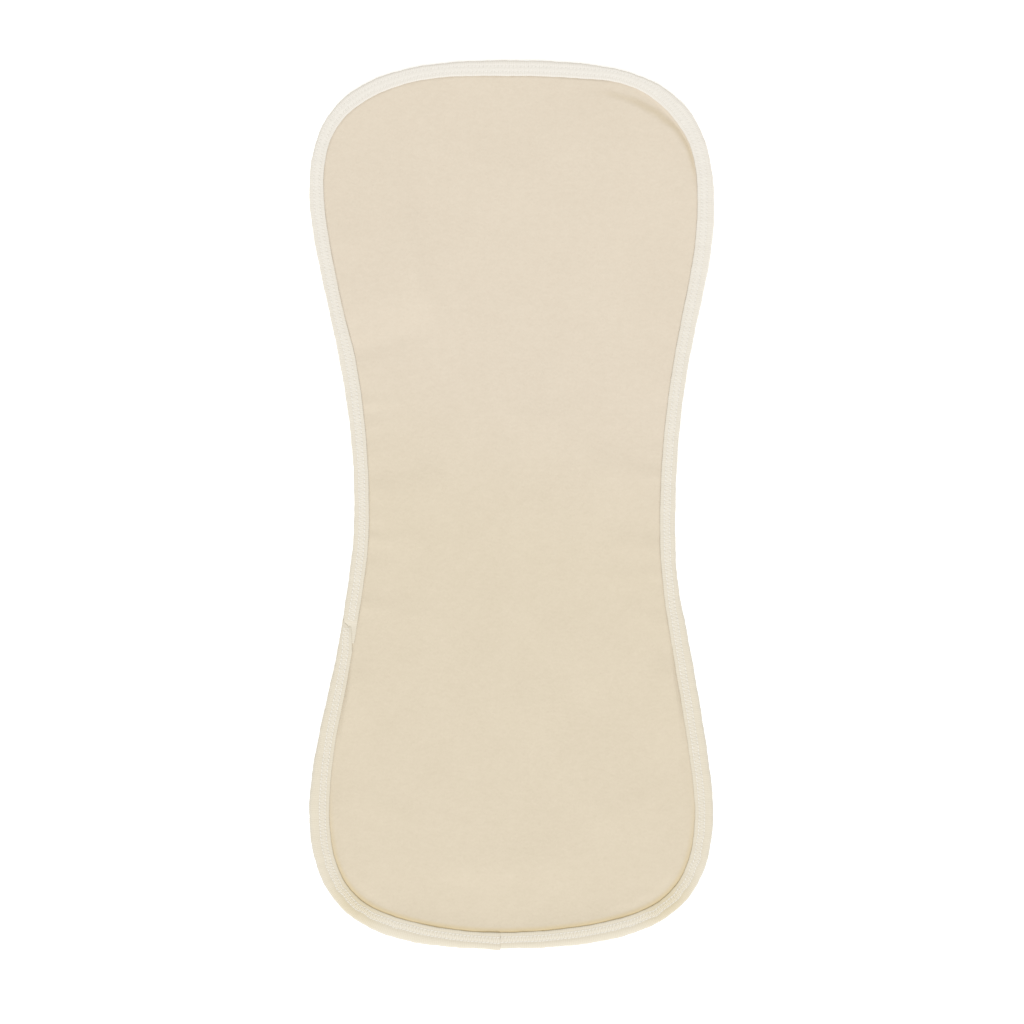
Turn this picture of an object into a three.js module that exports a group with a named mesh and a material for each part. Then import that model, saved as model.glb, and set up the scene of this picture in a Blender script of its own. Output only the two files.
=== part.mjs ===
// A contoured burp cloth: a soft panel, wide at both ends and drawn in at the waist, with a rib-knit
// binding folded round its whole edge.
//
// Lengths are in millimetres. The cloth lies face up on the plane z = 0, its length runs along Y,
// and the middle of its outline is at x = 0, y = 0.
import * as THREE from "three";

// Driving sizes
const LENGTH = 508;
const WIDTH = 231.4;
const GAP = 0.3;

// The panel: several layers of soft knit, sewn as one
const PANEL_THICKNESS = 2.8;
const PANEL_RIM_THICKNESS = 1;
const RIM_RISE = 2;
const RISE_START = 0.3;
const UNDER_SLACK = 0.3;
const PANEL_COLOUR = 0xe3d7c1;

// The binding: a strip folded round the panel's rim, seen in section from the outer edge inwards
const BINDING_HEIGHT = 3.4;
const FOLD_WALL = 2;
const LOWER_LIMB = 1;
const UPPER_LIMB_EDGE = 3.15;
const INNER_ROW = 2.35;
const OUTER_ROW = 5.6;
const ROW_DIP = 0.24;
const SHOULDER_INSET = 0.5;
const SHOULDER_SHARE = 0.19;
const SLOT_TOP = LOWER_LIMB + PANEL_RIM_THICKNESS + 2 * GAP;
const BINDING_COLOUR = 0xf1ebe0;

// At both joins the short length of binding laps over the long one, and stands further out and up
const BOTTOM_LAP = { out: 0.7, up: 0.4 };
const SIDE_LAP = { out: 0.15, up: 0.15 };
const NO_LAP = { out: 0, up: 0 };
const LAP_FADE = 16;

const SIDE_X = WIDTH / 2;
const LOWER_RIGHT_X = SIDE_X - 0.6;
const TOP_Y = LENGTH / 2;
const BOTTOM_Y = BOTTOM_LAP.out - LENGTH / 2;

// The outer edge, clockwise from the top as seen from above. At each point the edge heads along
// (goX, goY). It keeps near that heading for "before" millimetres up to the point and "after"
// millimetres past it. "steps" divides the stretch that follows.
const EDGE_POINTS = [
  { place: "top", x: -2, y: TOP_Y, goX: 1, goY: 0, before: 71, after: 77, steps: 20 },
  { place: "upper right", x: SIDE_X, y: 170, goX: 0, goY: -1, before: 72, after: 51, steps: 24 },
  { place: "right waist", x: 93.4, y: -14, goX: 0, goY: -1, before: 105, after: 14, steps: 6 },
  { place: "right bend", x: 96.9, y: -57, goX: 0.21, goY: -0.978, before: 14, after: 25, steps: 15 },
  { place: "lower right", x: LOWER_RIGHT_X, y: -174, goX: 0, goY: -1, before: 20, after: 61, steps: 20 },
  { place: "bottom join", x: -7, y: BOTTOM_Y, goX: -1, goY: 0, before: 87, after: 60, steps: 19 },
  { place: "lower left", x: -SIDE_X, y: -175, goX: 0, goY: 1, before: 69, after: 31, steps: 13 },
  { place: "side join", x: -97.6, y: -72, goX: 0.153, goY: 0.988, before: 31, after: 51, steps: 10 },
  { place: "left waist", x: -90, y: 3, goX: 0, goY: 1, before: 22, after: 74, steps: 22 },
  { place: "upper left", x: -SIDE_X, y: 179, goX: 0, goY: 1, before: 40, after: 62, steps: 18 },
];

// Width of the binding as it shows from above. "at" counts the edge points from the top: 1 is the
// upper right, 1.5 is halfway from there to the right waist, and 10 is the top again.
const BINDING_WIDTHS = [
  { at: 0, width: 9.1 },
  { at: 0.2, width: 9.0 },
  { at: 0.4, width: 7.4 },
  { at: 0.65, width: 9.8 },
  { at: 0.8, width: 9.0 },
  { at: 1.05, width: 9.9 },
  { at: 1.6, width: 8.7 },
  { at: 2, width: 8.9 },
  { at: 2.7, width: 8.6 },
  { at: 3.4, width: 10.4 },
  { at: 4, width: 10.6 },
  { at: 4.4, width: 10.2 },
  { at: 4.6, width: 10.7 },
  { at: 5, width: 9.5 },
  { at: 5.4, width: 11.7 },
  { at: 5.6, width: 11.0 },
  { at: 6, width: 11.6 },
  { at: 6.6, width: 9.6 },
  { at: 6.9, width: 8.6 },
  { at: 7.4, width: 8.9 },
  { at: 8.1, width: 8.5 },
  { at: 8.45, width: 9.3 },
  { at: 8.6, width: 8.2 },
  { at: 8.9, width: 8.6 },
  { at: 9.2, width: 7.6 },
  { at: 9.45, width: 8.8 },
  { at: 9.7, width: 8.1 },
  { at: 10, width: 9.1 },
];

// The binding is sewn on in two lengths, the short one from the bottom join to the side join
const BOTTOM_JOIN = "bottom join";
const SIDE_JOIN = "side join";

// Soft folds of the panel. The crest of each runs from (x1, y1) on the left to (x2, y2), and it dies
// away over "north" and "south" millimetres beside the crest and over "ends" past its ends. A height
// below zero is a hollow.
const FOLDS = [
  { place: "left ridge", x1: -98, y1: 113, x2: -54, y2: 124, north: 58, south: 17, ends: 13, height: 1.6 },
  { place: "foot crease", x1: -92, y1: 90, x2: -58, y2: 98, north: 5, south: 6, ends: 9, height: -0.4 },
  { place: "side fold", x1: -99, y1: 151, x2: -88, y2: 150, north: 14, south: 8, ends: 5, height: 0.4 },
  { place: "upper swell", x1: 20, y1: 190, x2: 66, y2: 220, north: 30, south: 70, ends: 40, height: 0.9 },
  { place: "middle ripple", x1: 8, y1: 49, x2: 26, y2: 51, north: 6, south: 18, ends: 5, height: 0.4 },
  { place: "left waist", x1: -68, y1: 3, x2: -44, y2: 13, north: 11, south: 22, ends: 9, height: 0.75 },
  { place: "left ripple", x1: -64, y1: -20, x2: -58, y2: -19, north: 8, south: 13, ends: 6, height: 0.4 },
  { place: "left crease", x1: -80, y1: -56, x2: -50, y2: -64, north: 6, south: 10, ends: 7, height: 0.3 },
  { place: "right waist", x1: 54, y1: 21, x2: 84, y2: 15, north: 9, south: 14, ends: 10, height: 0.5 },
  { place: "right crease", x1: 64, y1: -20, x2: 84, y2: -27, north: 6, south: 9, ends: 9, height: 0.36 },
  { place: "second crease", x1: 54, y1: -40, x2: 78, y2: -42, north: 6, south: 8, ends: 6, height: 0.34 },
  { place: "third crease", x1: 70, y1: -62, x2: 86, y2: -68, north: 6, south: 8, ends: 8, height: 0.34 },
  { place: "low ripple", x1: 24, y1: -73, x2: 50, y2: -79, north: 7, south: 15, ends: 7, height: 0.24 },
  { place: "low ridge", x1: 6, y1: -118, x2: 48, y2: -98, north: 16, south: 9, ends: 8, height: 0.35 },
  { place: "left dimple", x1: -88, y1: -166, x2: -62, y2: -178, north: 9, south: 9, ends: 8, height: 0.3 },
  { place: "right dimple", x1: 52, y1: -178, x2: 84, y2: -164, north: 9, south: 9, ends: 8, height: 0.3 },
  { place: "end ripple", x1: -30, y1: -208, x2: 26, y2: -207, north: 10, south: 8, ends: 12, height: 0.3 },
  { place: "left pull", x1: -96, y1: -103, x2: -88, y2: -102, north: 11, south: 34, ends: 7, height: 1.1 },
  { place: "right pull", x1: 86, y1: -99, x2: 96, y2: -100, north: 11, south: 34, ends: 7, height: 1.1 },
];

// Places where the panel is held down in a low shelf beside the binding. Each row gives how deep it is
// at that "at", how far inside the binding the shelf ends, and where the panel is up to its full height.
const SHELVES = [
  [
    { place: "pulled corner", at: 0.3, depth: 0, shelf: 4.5, shoulder: 9 },
    { place: "pulled corner", at: 0.4, depth: 0.9, shelf: 4.5, shoulder: 10.5 },
    { place: "pulled corner", at: 0.5, depth: 1.6, shelf: 3.2, shoulder: 10 },
    { place: "pulled corner", at: 0.6, depth: 1.8, shelf: 1.1, shoulder: 8 },
    { place: "pulled corner", at: 0.7, depth: 1.8, shelf: -0.3, shoulder: 5 },
    { place: "pulled corner", at: 0.8, depth: 2, shelf: -1.2, shoulder: 3.6 },
    { place: "pulled corner", at: 0.95, depth: 0, shelf: -1.2, shoulder: 3 },
  ],
  [
    { place: "lower right side", at: 3.45, depth: 0, shelf: -3, shoulder: 8 },
    { place: "lower right side", at: 3.8, depth: 1.1, shelf: -3, shoulder: 8 },
    { place: "lower right side", at: 4.1, depth: 1.1, shelf: -3, shoulder: 8 },
    { place: "lower right side", at: 4.3, depth: 0, shelf: -3, shoulder: 8 },
  ],
  [
    { place: "lower left side", at: 5.7, depth: 0, shelf: -3, shoulder: 8 },
    { place: "lower left side", at: 5.9, depth: 1.1, shelf: -3, shoulder: 8 },
    { place: "lower left side", at: 6.2, depth: 1.1, shelf: -3, shoulder: 8 },
    { place: "lower left side", at: 6.5, depth: 0, shelf: -3, shoulder: 8 },
  ],
];

// Hollows that follow the binding's inner edge, between two "at" positions. Each is deepest
// "beyond" millimetres inside that edge, and dies away over the last stretch at both ends.
const HOLLOW_END = 0.15;
const RIM_HOLLOWS = [
  { place: "lower right corner", from: 4.0, to: 4.65, beyond: 3.2, reach: 2.3, depth: 0.42 },
  { place: "lower left corner", from: 5.4, to: 6.05, beyond: 3.6, reach: 2.4, depth: 0.42 },
];

// Along the lower end the panel falls quickly from the binding, over "fall" millimetres, and is back
// at its full height between "low" and "high". It does so fully between "full" and "last".
const LOWER_END = { from: 4.25, full: 4.7, last: 5.35, to: 5.8, depth: 1.1, fall: 4.2, low: 8, high: 46 };

// How far inside the binding the panel has opened to its full height
const RISE_WIDTHS = [
  { at: 0, width: 0.9 },
  { at: 3, width: 1.2 },
  { at: 3.6, width: 3 },
  { at: 4.2, width: 3 },
  { at: 4.6, width: 0.8 },
  { at: 5.4, width: 0.8 },
  { at: 5.8, width: 3 },
  { at: 6.4, width: 3 },
  { at: 7, width: 1.2 },
  { at: 10, width: 0.9 },
];

// Rings of the panel's upper face: first by their distance inside the binding's inner edge, then by
// how far they have closed in on the panel's middle line. The underside has fewer.
const RIM_RINGS = [-0.4, 0.4, 1.4, 2.9, 5.4, 9.2, 14, 20];
const INNER_RINGS = [0.05, 0.1, 0.16, 0.23, 0.3, 0.38, 0.46, 0.54, 0.62, 0.7, 0.78, 0.85, 0.92];
const UNDER_RIM_RINGS = [9.2, 20];
const UNDER_INNER_RINGS = [0.1, 0.23, 0.38, 0.54, 0.7, 0.92];
const MIDDLE_LINE_SHARE = 0.62;

const smooth = (low, high, value) => THREE.MathUtils.smoothstep(value, low, high);

// Points round the outer edge, with the heading of the edge at each
function walkEdge() {
  const walk = [];
  EDGE_POINTS.forEach((start, index) => {
    const end = EDGE_POINTS[(index + 1) % EDGE_POINTS.length];
    const stretch = new THREE.CubicBezierCurve(
      new THREE.Vector2(start.x, start.y),
      new THREE.Vector2(start.x + start.goX * start.after, start.y + start.goY * start.after),
      new THREE.Vector2(end.x - end.goX * end.before, end.y - end.goY * end.before),
      new THREE.Vector2(end.x, end.y),
    );
    for (let step = 0; step < start.steps; step++) {
      const share = step / start.steps;
      const at = index + share;
      walk.push({
        at,
        point: stretch.getPointAt(share),
        heading: stretch.getTangentAt(share),
        width: eased(BINDING_WIDTHS, "width", at),
      });
    }
  });
  return walk;
}

// Reads one column of a table by position, easing from each row to the next
function eased(table, column, at) {
  const next = THREE.MathUtils.clamp(table.findLastIndex((row) => row.at <= at) + 1, 1, table.length - 1);
  const low = table[next - 1];
  const high = table[next];
  return THREE.MathUtils.lerp(low[column], high[column], smooth(low.at, high.at, at));
}

// The point that lies "inset" inside the outer edge and "forward" along it, at height z
function spot(station, inset, z, forward = 0) {
  const { point, heading } = station;
  return new THREE.Vector3(
    point.x + heading.y * inset + heading.x * forward,
    point.y - heading.x * inset + heading.y * forward,
    z,
  );
}

const bell = (distance, reach) => Math.exp(-((distance / reach) ** 2));

function foldHeight(fold, x, y) {
  const crest = new THREE.Vector2(fold.x2 - fold.x1, fold.y2 - fold.y1);
  const length = crest.length();
  crest.normalize();
  const from = new THREE.Vector2(x - fold.x1, y - fold.y1);
  const travelled = from.dot(crest);
  const northward = crest.cross(from);
  const overrun = Math.max(-travelled, travelled - length, 0);
  const reach = northward > 0 ? fold.north : fold.south;
  return fold.height * bell(northward, reach) * bell(overrun, fold.ends);
}

// Height of the panel's upper face at a point, "beyond" millimetres inside the binding's inner edge
function panelHeight(station, x, y, beyond) {
  const { at } = station;
  let relief = 0;
  for (const fold of FOLDS) relief += foldHeight(fold, x, y);
  for (const shelf of SHELVES) {
    const raised = smooth(eased(shelf, "shelf", at), eased(shelf, "shoulder", at), beyond);
    relief -= eased(shelf, "depth", at) * (1 - raised);
  }
  for (const hollow of RIM_HOLLOWS) {
    const along =
      smooth(hollow.from, hollow.from + HOLLOW_END, at) * (1 - smooth(hollow.to - HOLLOW_END, hollow.to, at));
    relief -= hollow.depth * along * bell(beyond - hollow.beyond, hollow.reach);
  }
  const { from, full, last, to, depth, fall, low, high } = LOWER_END;
  const along = smooth(from, full, at) * (1 - smooth(last, to, at));
  const fallen = 1 - Math.exp(-Math.max(beyond, 0) / fall);
  relief -= depth * along * fallen * (1 - smooth(low, high, beyond));
  const rimTop = LOWER_LIMB + GAP + PANEL_RIM_THICKNESS;
  const opened = smooth(RISE_START, RISE_START + eased(RISE_WIDTHS, "width", at), beyond);
  return rimTop + (PANEL_THICKNESS - rimTop + relief) * opened;
}

// A closed skin through rings of equal length, with the first and last ring filled. Each ring runs
// anticlockwise to an eye that the rings advance towards.
function skin(rings) {
  const count = rings[0].length;
  const triangles = [];
  for (let ring = 0; ring + 1 < rings.length; ring++) {
    for (let i = 0; i < count; i++) {
      const a = ring * count + i;
      const b = ring * count + ((i + 1) % count);
      triangles.push(a, b, b + count, a, b + count, a + count);
    }
  }
  const last = (rings.length - 1) * count;
  for (const [a, b, c] of fill(rings[0])) triangles.push(a, c, b);
  for (const [a, b, c] of fill(rings.at(-1))) triangles.push(last + a, last + b, last + c);
  const geometry = new THREE.BufferGeometry().setFromPoints(rings.flat()).setIndex(triangles);
  geometry.computeVertexNormals();
  return geometry;
}

// Triangles across a ring, wound the way the ring runs. The ring is seen in its own plane: level for
// the panel, and upright for a cut end of the binding.
function fill(ring) {
  const middle = ring.reduce((sum, p) => sum.add(p), new THREE.Vector3()).divideScalar(ring.length);
  const normal = new THREE.Vector3();
  ring.forEach((p, i) => {
    const q = ring[(i + 1) % ring.length];
    normal.add(p.clone().sub(middle).cross(q.clone().sub(middle)));
  });
  const turn = new THREE.Quaternion().setFromUnitVectors(normal.normalize(), new THREE.Vector3(0, 0, 1));
  const flat = ring.map((p) => p.clone().sub(middle).applyQuaternion(turn));
  return THREE.ShapeUtils.triangulateShape(flat.map((p) => new THREE.Vector2(p.x, p.y)), []);
}

// One ring of points round the panel, lifted by "height", which is given each point's upper height.
// "closed" draws the ring in from the last rim ring towards the panel's middle line.
function panelRing(walk, beyond, closed, height) {
  return walk.map((station) => {
    const rim = spot(station, station.width + beyond, 0);
    const x = rim.x * (1 - closed);
    const y = rim.y * (1 - closed * (1 - MIDDLE_LINE_SHARE));
    return new THREE.Vector3(x, y, height(panelHeight(station, x, y, beyond + closed * SIDE_X)));
  });
}

function makePanel(walk) {
  const rimInset = FOLD_WALL + GAP;
  const lift = LOWER_LIMB + GAP;
  const lastRim = RIM_RINGS.at(-1);
  const face = (top) => top;
  const under = (top) => Math.max(top - PANEL_THICKNESS - UNDER_SLACK, 0);
  const upper = [
    walk.map((s) => spot(s, rimInset, lift + PANEL_RIM_THICKNESS)),
    ...RIM_RINGS.map((beyond) => panelRing(walk, beyond, 0, face)),
    ...INNER_RINGS.map((closed) => panelRing(walk, lastRim, closed, face)),
  ];
  const underside = [
    walk.map((s) => spot(s, rimInset, lift)),
    walk.map((s) => spot(s, s.width + GAP, lift)),
    walk.map((s) => spot(s, s.width + RIM_RISE, 0)),
    ...UNDER_RIM_RINGS.map((beyond) => panelRing(walk, beyond, 0, under)),
    ...UNDER_INNER_RINGS.map((closed) => panelRing(walk, lastRim, closed, under)),
  ];
  return skin([...upper.reverse(), ...underside]);
}

// The binding's section as [inset, z] pairs: under the lower limb, round the fold, over the two sewn
// rows to the inner edge, and back round the slot that holds the panel's rim
function bindingSection(width, out, up) {
  const top = BINDING_HEIGHT + up;
  const outside = -out;
  return [
    [width, 0],
    [FOLD_WALL, 0],
    [outside + SHOULDER_INSET, top * SHOULDER_SHARE],
    [outside, top / 2],
    [outside + SHOULDER_INSET, top * (1 - SHOULDER_SHARE)],
    [FOLD_WALL, top],
    [width - OUTER_ROW, top - ROW_DIP],
    [width - (INNER_ROW + OUTER_ROW) / 2, top],
    [width - INNER_ROW, top - ROW_DIP],
    [width, UPPER_LIMB_EDGE],
    [width, SLOT_TOP],
    [FOLD_WALL, SLOT_TOP],
    [FOLD_WALL, LOWER_LIMB],
    [width, LOWER_LIMB],
  ];
}

// A length of binding over the stations of its run. Its ends stand back by half the gap, and each
// stands out and up by its own lap.
function makeBinding(run, firstLap, lastLap) {
  const reach = [0];
  for (let i = 1; i < run.length; i++) reach.push(reach[i - 1] + run[i].point.distanceTo(run[i - 1].point));
  const total = reach.at(-1);
  const sections = run.map((station, i) => {
    const lap = reach[i] < total / 2 ? firstLap : lastLap;
    const share = 1 - smooth(0, LAP_FADE, Math.min(reach[i], total - reach[i]));
    const forward = i === 0 ? GAP / 2 : i === run.length - 1 ? -GAP / 2 : 0;
    const section = bindingSection(station.width, lap.out * share, lap.up * share);
    return section.map(([inset, z]) => spot(station, inset, z, forward));
  });
  return skin(sections);
}

function stationOf(walk, place) {
  const at = EDGE_POINTS.findIndex((point) => point.place === place);
  return walk.findIndex((station) => station.at === at);
}

function makeMesh(name, geometry, color) {
  const finish = new THREE.MeshStandardMaterial({ color, roughness: 0.95, metalness: 0 });
  const mesh = new THREE.Mesh(geometry, finish);
  mesh.name = name;
  return mesh;
}

const walk = walkEdge();
const bottomJoin = stationOf(walk, BOTTOM_JOIN);
const sideJoin = stationOf(walk, SIDE_JOIN);
const shortRun = walk.slice(bottomJoin, sideJoin + 1);
const longRun = [...walk.slice(sideJoin), ...walk.slice(0, bottomJoin + 1)];

const cloth = new THREE.Group();
cloth.add(makeMesh("panel", makePanel(walk), PANEL_COLOUR));
cloth.add(makeMesh("binding_long", makeBinding(longRun, NO_LAP, NO_LAP), BINDING_COLOUR));
cloth.add(makeMesh("binding_short", makeBinding(shortRun, BOTTOM_LAP, SIDE_LAP), BINDING_COLOUR));

export default cloth;
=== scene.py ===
# %% [markdown]
# # A contoured burp cloth, laid flat
#
# The real cloth is three things sewn together: a soft layered panel shaped like an hourglass, a narrow
# rib-knit binding folded round its edge, and the thread of a two-needle machine that holds the
# binding on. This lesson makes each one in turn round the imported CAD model, which gives the size and
# the place. All lengths in the scene are metres, and the tables are in millimetres, as a pattern
# cutter would write them.

# %% Load the frame
import math

import bmesh
import bpy
import numpy as np
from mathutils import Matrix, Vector
from mathutils.kdtree import KDTree


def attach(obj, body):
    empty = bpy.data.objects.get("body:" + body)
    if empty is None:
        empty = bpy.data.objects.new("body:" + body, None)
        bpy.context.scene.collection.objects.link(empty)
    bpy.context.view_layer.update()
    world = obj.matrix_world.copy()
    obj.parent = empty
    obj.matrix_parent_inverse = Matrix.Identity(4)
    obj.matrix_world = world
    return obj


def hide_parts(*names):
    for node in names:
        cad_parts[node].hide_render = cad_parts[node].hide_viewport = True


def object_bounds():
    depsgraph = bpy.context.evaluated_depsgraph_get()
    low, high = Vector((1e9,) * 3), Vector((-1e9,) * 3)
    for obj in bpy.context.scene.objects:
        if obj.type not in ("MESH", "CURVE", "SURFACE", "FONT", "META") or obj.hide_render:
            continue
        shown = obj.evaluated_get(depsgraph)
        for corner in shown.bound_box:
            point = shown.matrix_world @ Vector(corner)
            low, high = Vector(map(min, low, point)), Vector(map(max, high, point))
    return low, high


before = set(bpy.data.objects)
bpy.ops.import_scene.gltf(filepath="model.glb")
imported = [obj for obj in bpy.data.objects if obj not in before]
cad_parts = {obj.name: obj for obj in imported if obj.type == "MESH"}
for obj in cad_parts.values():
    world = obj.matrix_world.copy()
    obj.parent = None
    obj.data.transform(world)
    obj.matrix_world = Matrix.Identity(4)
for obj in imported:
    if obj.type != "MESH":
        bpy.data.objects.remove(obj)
cad_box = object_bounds()
MM = 0.001
print("nodes", sorted(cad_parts), "box in mm", [round(v / MM, 1) for v in cad_box[1] - cad_box[0]])

# %% [markdown]
# ## The edge of the cloth
#
# The outline is a pattern piece with ten points that matter: the ends, the widest places, the waist,
# and two places where the binding is joined or bends. A Bezier curve needs no more than these, because
# its handles carry the sweep between them. The points run clockwise from the top, and each row says
# which way the edge heads there and how long the handles are on each side.

# %% Outline and binding widths
cloth_low, cloth_high = cad_box
SIDE_X = cloth_high.x / MM
LOWER_RIGHT_X = SIDE_X - 0.6
TOP_Y = cloth_high.y / MM
LAP_OUT = 0.7
BOTTOM_Y = cloth_low.y / MM + LAP_OUT

EDGE_POINTS = [
    {"place": "top", "at": (-2, TOP_Y), "heading": (1, 0), "before": 71, "after": 77},
    {"place": "upper right", "at": (SIDE_X, 170), "heading": (0, -1), "before": 72, "after": 51},
    {"place": "right waist", "at": (93.4, -14), "heading": (0, -1), "before": 105, "after": 14},
    {"place": "right bend", "at": (96.9, -57), "heading": (0.21, -0.978), "before": 14, "after": 25},
    {"place": "lower right", "at": (LOWER_RIGHT_X, -174), "heading": (0, -1), "before": 20, "after": 61},
    {"place": "bottom join", "at": (-7, BOTTOM_Y), "heading": (-1, 0), "before": 87, "after": 60},
    {"place": "lower left", "at": (-SIDE_X, -175), "heading": (0, 1), "before": 69, "after": 31},
    {"place": "side join", "at": (-97.6, -72), "heading": (0.153, 0.988), "before": 31, "after": 51},
    {"place": "left waist", "at": (-90, 3), "heading": (0, 1), "before": 22, "after": 74},
    {"place": "upper left", "at": (-SIDE_X, 179), "heading": (0, 1), "before": 40, "after": 62},
]
PLACES = [row["place"] for row in EDGE_POINTS]

# Each pair is a position and the binding's width there in millimetres. Positions count the edge
# points: 0 is the top, 1 the upper right, 1.5 halfway to the right waist, and 10 the top again.
BINDING_WIDTHS = [
    (0, 9.1), (0.2, 9.0), (0.4, 7.4), (0.65, 9.8), (0.8, 9.0), (1.05, 9.9), (1.6, 8.7),
    (2.0, 8.9), (2.7, 8.6), (3.4, 10.4), (4.0, 10.6), (4.4, 10.2), (4.6, 10.7), (5.0, 9.5),
    (5.4, 11.7), (5.6, 11.0), (6.0, 11.6), (6.6, 9.6), (6.9, 8.6), (7.4, 8.9), (8.1, 8.5),
    (8.45, 9.3), (8.6, 8.2), (8.9, 8.6), (9.2, 7.6), (9.45, 8.8), (9.7, 8.1), (10, 9.1),
]


def smooth(low, high, value):
    share = np.clip((value - low) / (high - low), 0, 1)
    return share * share * (3 - 2 * share)


def eased(table, value):
    """Reads a table of (position, size) pairs, easing from each row to the next."""
    positions = np.array([row[0] for row in table], float)
    sizes = np.array([row[1] for row in table], float)
    row = np.clip(np.searchsorted(positions, value, side="right") - 1, 0, len(table) - 2)
    share = smooth(positions[row], positions[row + 1], value)
    return sizes[row] + (sizes[row + 1] - sizes[row]) * share


# %% [markdown]
# The curve object starts as Blender's Bezier circle. Its four points become ten, and each gets the
# place and handles of its row. The same curve later bends the straight binding round the cloth, so it
# is made once and kept until the end.

# %% The edge curve
CURVE_STEPS = 48


def deselect_all():
    bpy.ops.object.select_all(action="DESELECT")


deselect_all()
bpy.ops.curve.primitive_bezier_circle_add(radius=1)
edge_curve = bpy.context.object
edge_curve.name = "edge_guide"
edge_line = edge_curve.data.splines[0]
edge_line.bezier_points.add(len(EDGE_POINTS) - len(edge_line.bezier_points))
edge_line.use_cyclic_u = True
edge_curve.data.dimensions = "2D"
edge_curve.data.resolution_u = CURVE_STEPS
edge_curve.data.use_stretch = False
edge_curve.data.use_deform_bounds = False
for handle, row in zip(edge_line.bezier_points, EDGE_POINTS):
    place = np.array([*row["at"], 0.0]) * MM
    heading = np.array([*row["heading"], 0.0]) * MM
    handle.handle_left_type = "FREE"
    handle.handle_right_type = "FREE"
    handle.co = place
    handle.handle_left = place - heading * row["before"]
    handle.handle_right = place + heading * row["after"]
print("edge curve with", len(edge_line.bezier_points), "points")

# %% [markdown]
# Later cells need to know how far along the edge something is, and how far inside it. So the curve is
# walked once in small steps: each step has a point, a heading, a distance from the top in millimetres,
# and its position in the count of edge points.

# %% Walk the edge
WALK_STEPS = 400


def walk_edge():
    points, positions, distances = [], [], []
    travelled = 0.0
    for index, row in enumerate(EDGE_POINTS):
        end = EDGE_POINTS[(index + 1) % len(EDGE_POINTS)]
        a, d = np.array(row["at"], float), np.array(end["at"], float)
        b = a + np.array(row["heading"]) * row["after"]
        c = d - np.array(end["heading"]) * end["before"]
        t = np.linspace(0, 1, WALK_STEPS + 1)[:, None]
        line = a * (1 - t) ** 3 + 3 * b * t * (1 - t) ** 2 + 3 * c * t * t * (1 - t) + d * t**3
        covered = np.concatenate([[0], np.cumsum(np.linalg.norm(np.diff(line, axis=0), axis=1))])
        points.append(line[:-1])
        positions.append(index + covered[:-1] / covered[-1])
        distances.append(travelled + covered[:-1])
        travelled += covered[-1]
    return np.vstack(points), np.concatenate(positions), np.concatenate(distances), travelled


walk_points, walk_positions, walk_distances, EDGE_LENGTH = walk_edge()
walk_headings = np.roll(walk_points, -1, 0) - np.roll(walk_points, 1, 0)
walk_headings /= np.linalg.norm(walk_headings, axis=1)[:, None]
walk_widths = eased(BINDING_WIDTHS, walk_positions)


def distance_of(place):
    """How far along the edge a named point lies, in millimetres."""
    return walk_distances[PLACES.index(place) * WALK_STEPS]


def position_at(distance):
    wrapped = np.mod(distance, EDGE_LENGTH)
    return np.interp(wrapped, np.append(walk_distances, EDGE_LENGTH), np.append(walk_positions, len(PLACES)))


print("edge", round(EDGE_LENGTH, 1), "mm round, side join at", round(distance_of("side join"), 1))

# %% [markdown]
# ## The panel's relief
#
# Laid flat, the panel isn't quite flat. Soft folds cross it, it is pulled down along one corner, and
# the binding draws small puckers into the waist. Each fold is a row: the line of its crest from left to
# right in millimetres, how fast it dies away on its north and south sides and past its ends, and its
# height, which is negative for a hollow. A fold that is steep on one side and slow on the other looks
# like cloth that has been pushed, which an even bump never does. The same rows shape the CAD solid.

# %% Folds, rim and puckers
FOLDS = [
    {"place": "left ridge", "line": (-98, 113, -54, 124), "north": 58, "south": 17, "ends": 9, "height": 1.6},
    {"place": "foot crease", "line": (-92, 90, -58, 98), "north": 5, "south": 6, "ends": 9, "height": -0.4},
    {"place": "side fold", "line": (-99, 151, -88, 150), "north": 14, "south": 8, "ends": 5, "height": 0.4},
    {"place": "upper swell", "line": (20, 190, 66, 220), "north": 30, "south": 70, "ends": 40, "height": 0.9},
    {"place": "middle ripple", "line": (8, 49, 26, 51), "north": 6, "south": 18, "ends": 5, "height": 0.4},
    {"place": "left waist", "line": (-68, 3, -44, 13), "north": 11, "south": 22, "ends": 9, "height": 0.75},
    {"place": "left ripple", "line": (-64, -20, -58, -19), "north": 8, "south": 13, "ends": 6, "height": 0.4},
    {"place": "left crease", "line": (-80, -56, -50, -64), "north": 6, "south": 10, "ends": 7, "height": 0.3},
    {"place": "right waist", "line": (54, 21, 84, 15), "north": 9, "south": 14, "ends": 10, "height": 0.5},
    {"place": "right crease", "line": (64, -20, 84, -27), "north": 6, "south": 9, "ends": 9, "height": 0.36},
    {"place": "second crease", "line": (54, -40, 78, -42), "north": 6, "south": 8, "ends": 6, "height": 0.34},
    {"place": "third crease", "line": (70, -62, 86, -68), "north": 6, "south": 8, "ends": 8, "height": 0.34},
    {"place": "low ripple", "line": (24, -73, 50, -79), "north": 7, "south": 15, "ends": 7, "height": 0.24},
    {"place": "low ridge", "line": (6, -118, 48, -98), "north": 16, "south": 9, "ends": 8, "height": 0.35},
    {"place": "low dimple", "line": (-88, -166, -62, -178), "north": 9, "south": 9, "ends": 8, "height": 0.3},
    {"place": "low hollow", "line": (52, -178, 84, -164), "north": 9, "south": 9, "ends": 8, "height": 0.3},
    {"place": "end swell", "line": (-30, -208, 26, -207), "north": 10, "south": 8, "ends": 12, "height": 0.3},
    {"place": "low pull", "line": (-96, -103, -88, -102), "north": 11, "south": 34, "ends": 7, "height": 1.1},
    {"place": "far pull", "line": (86, -99, 96, -100), "north": 11, "south": 34, "ends": 7, "height": 1.1},
]

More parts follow.
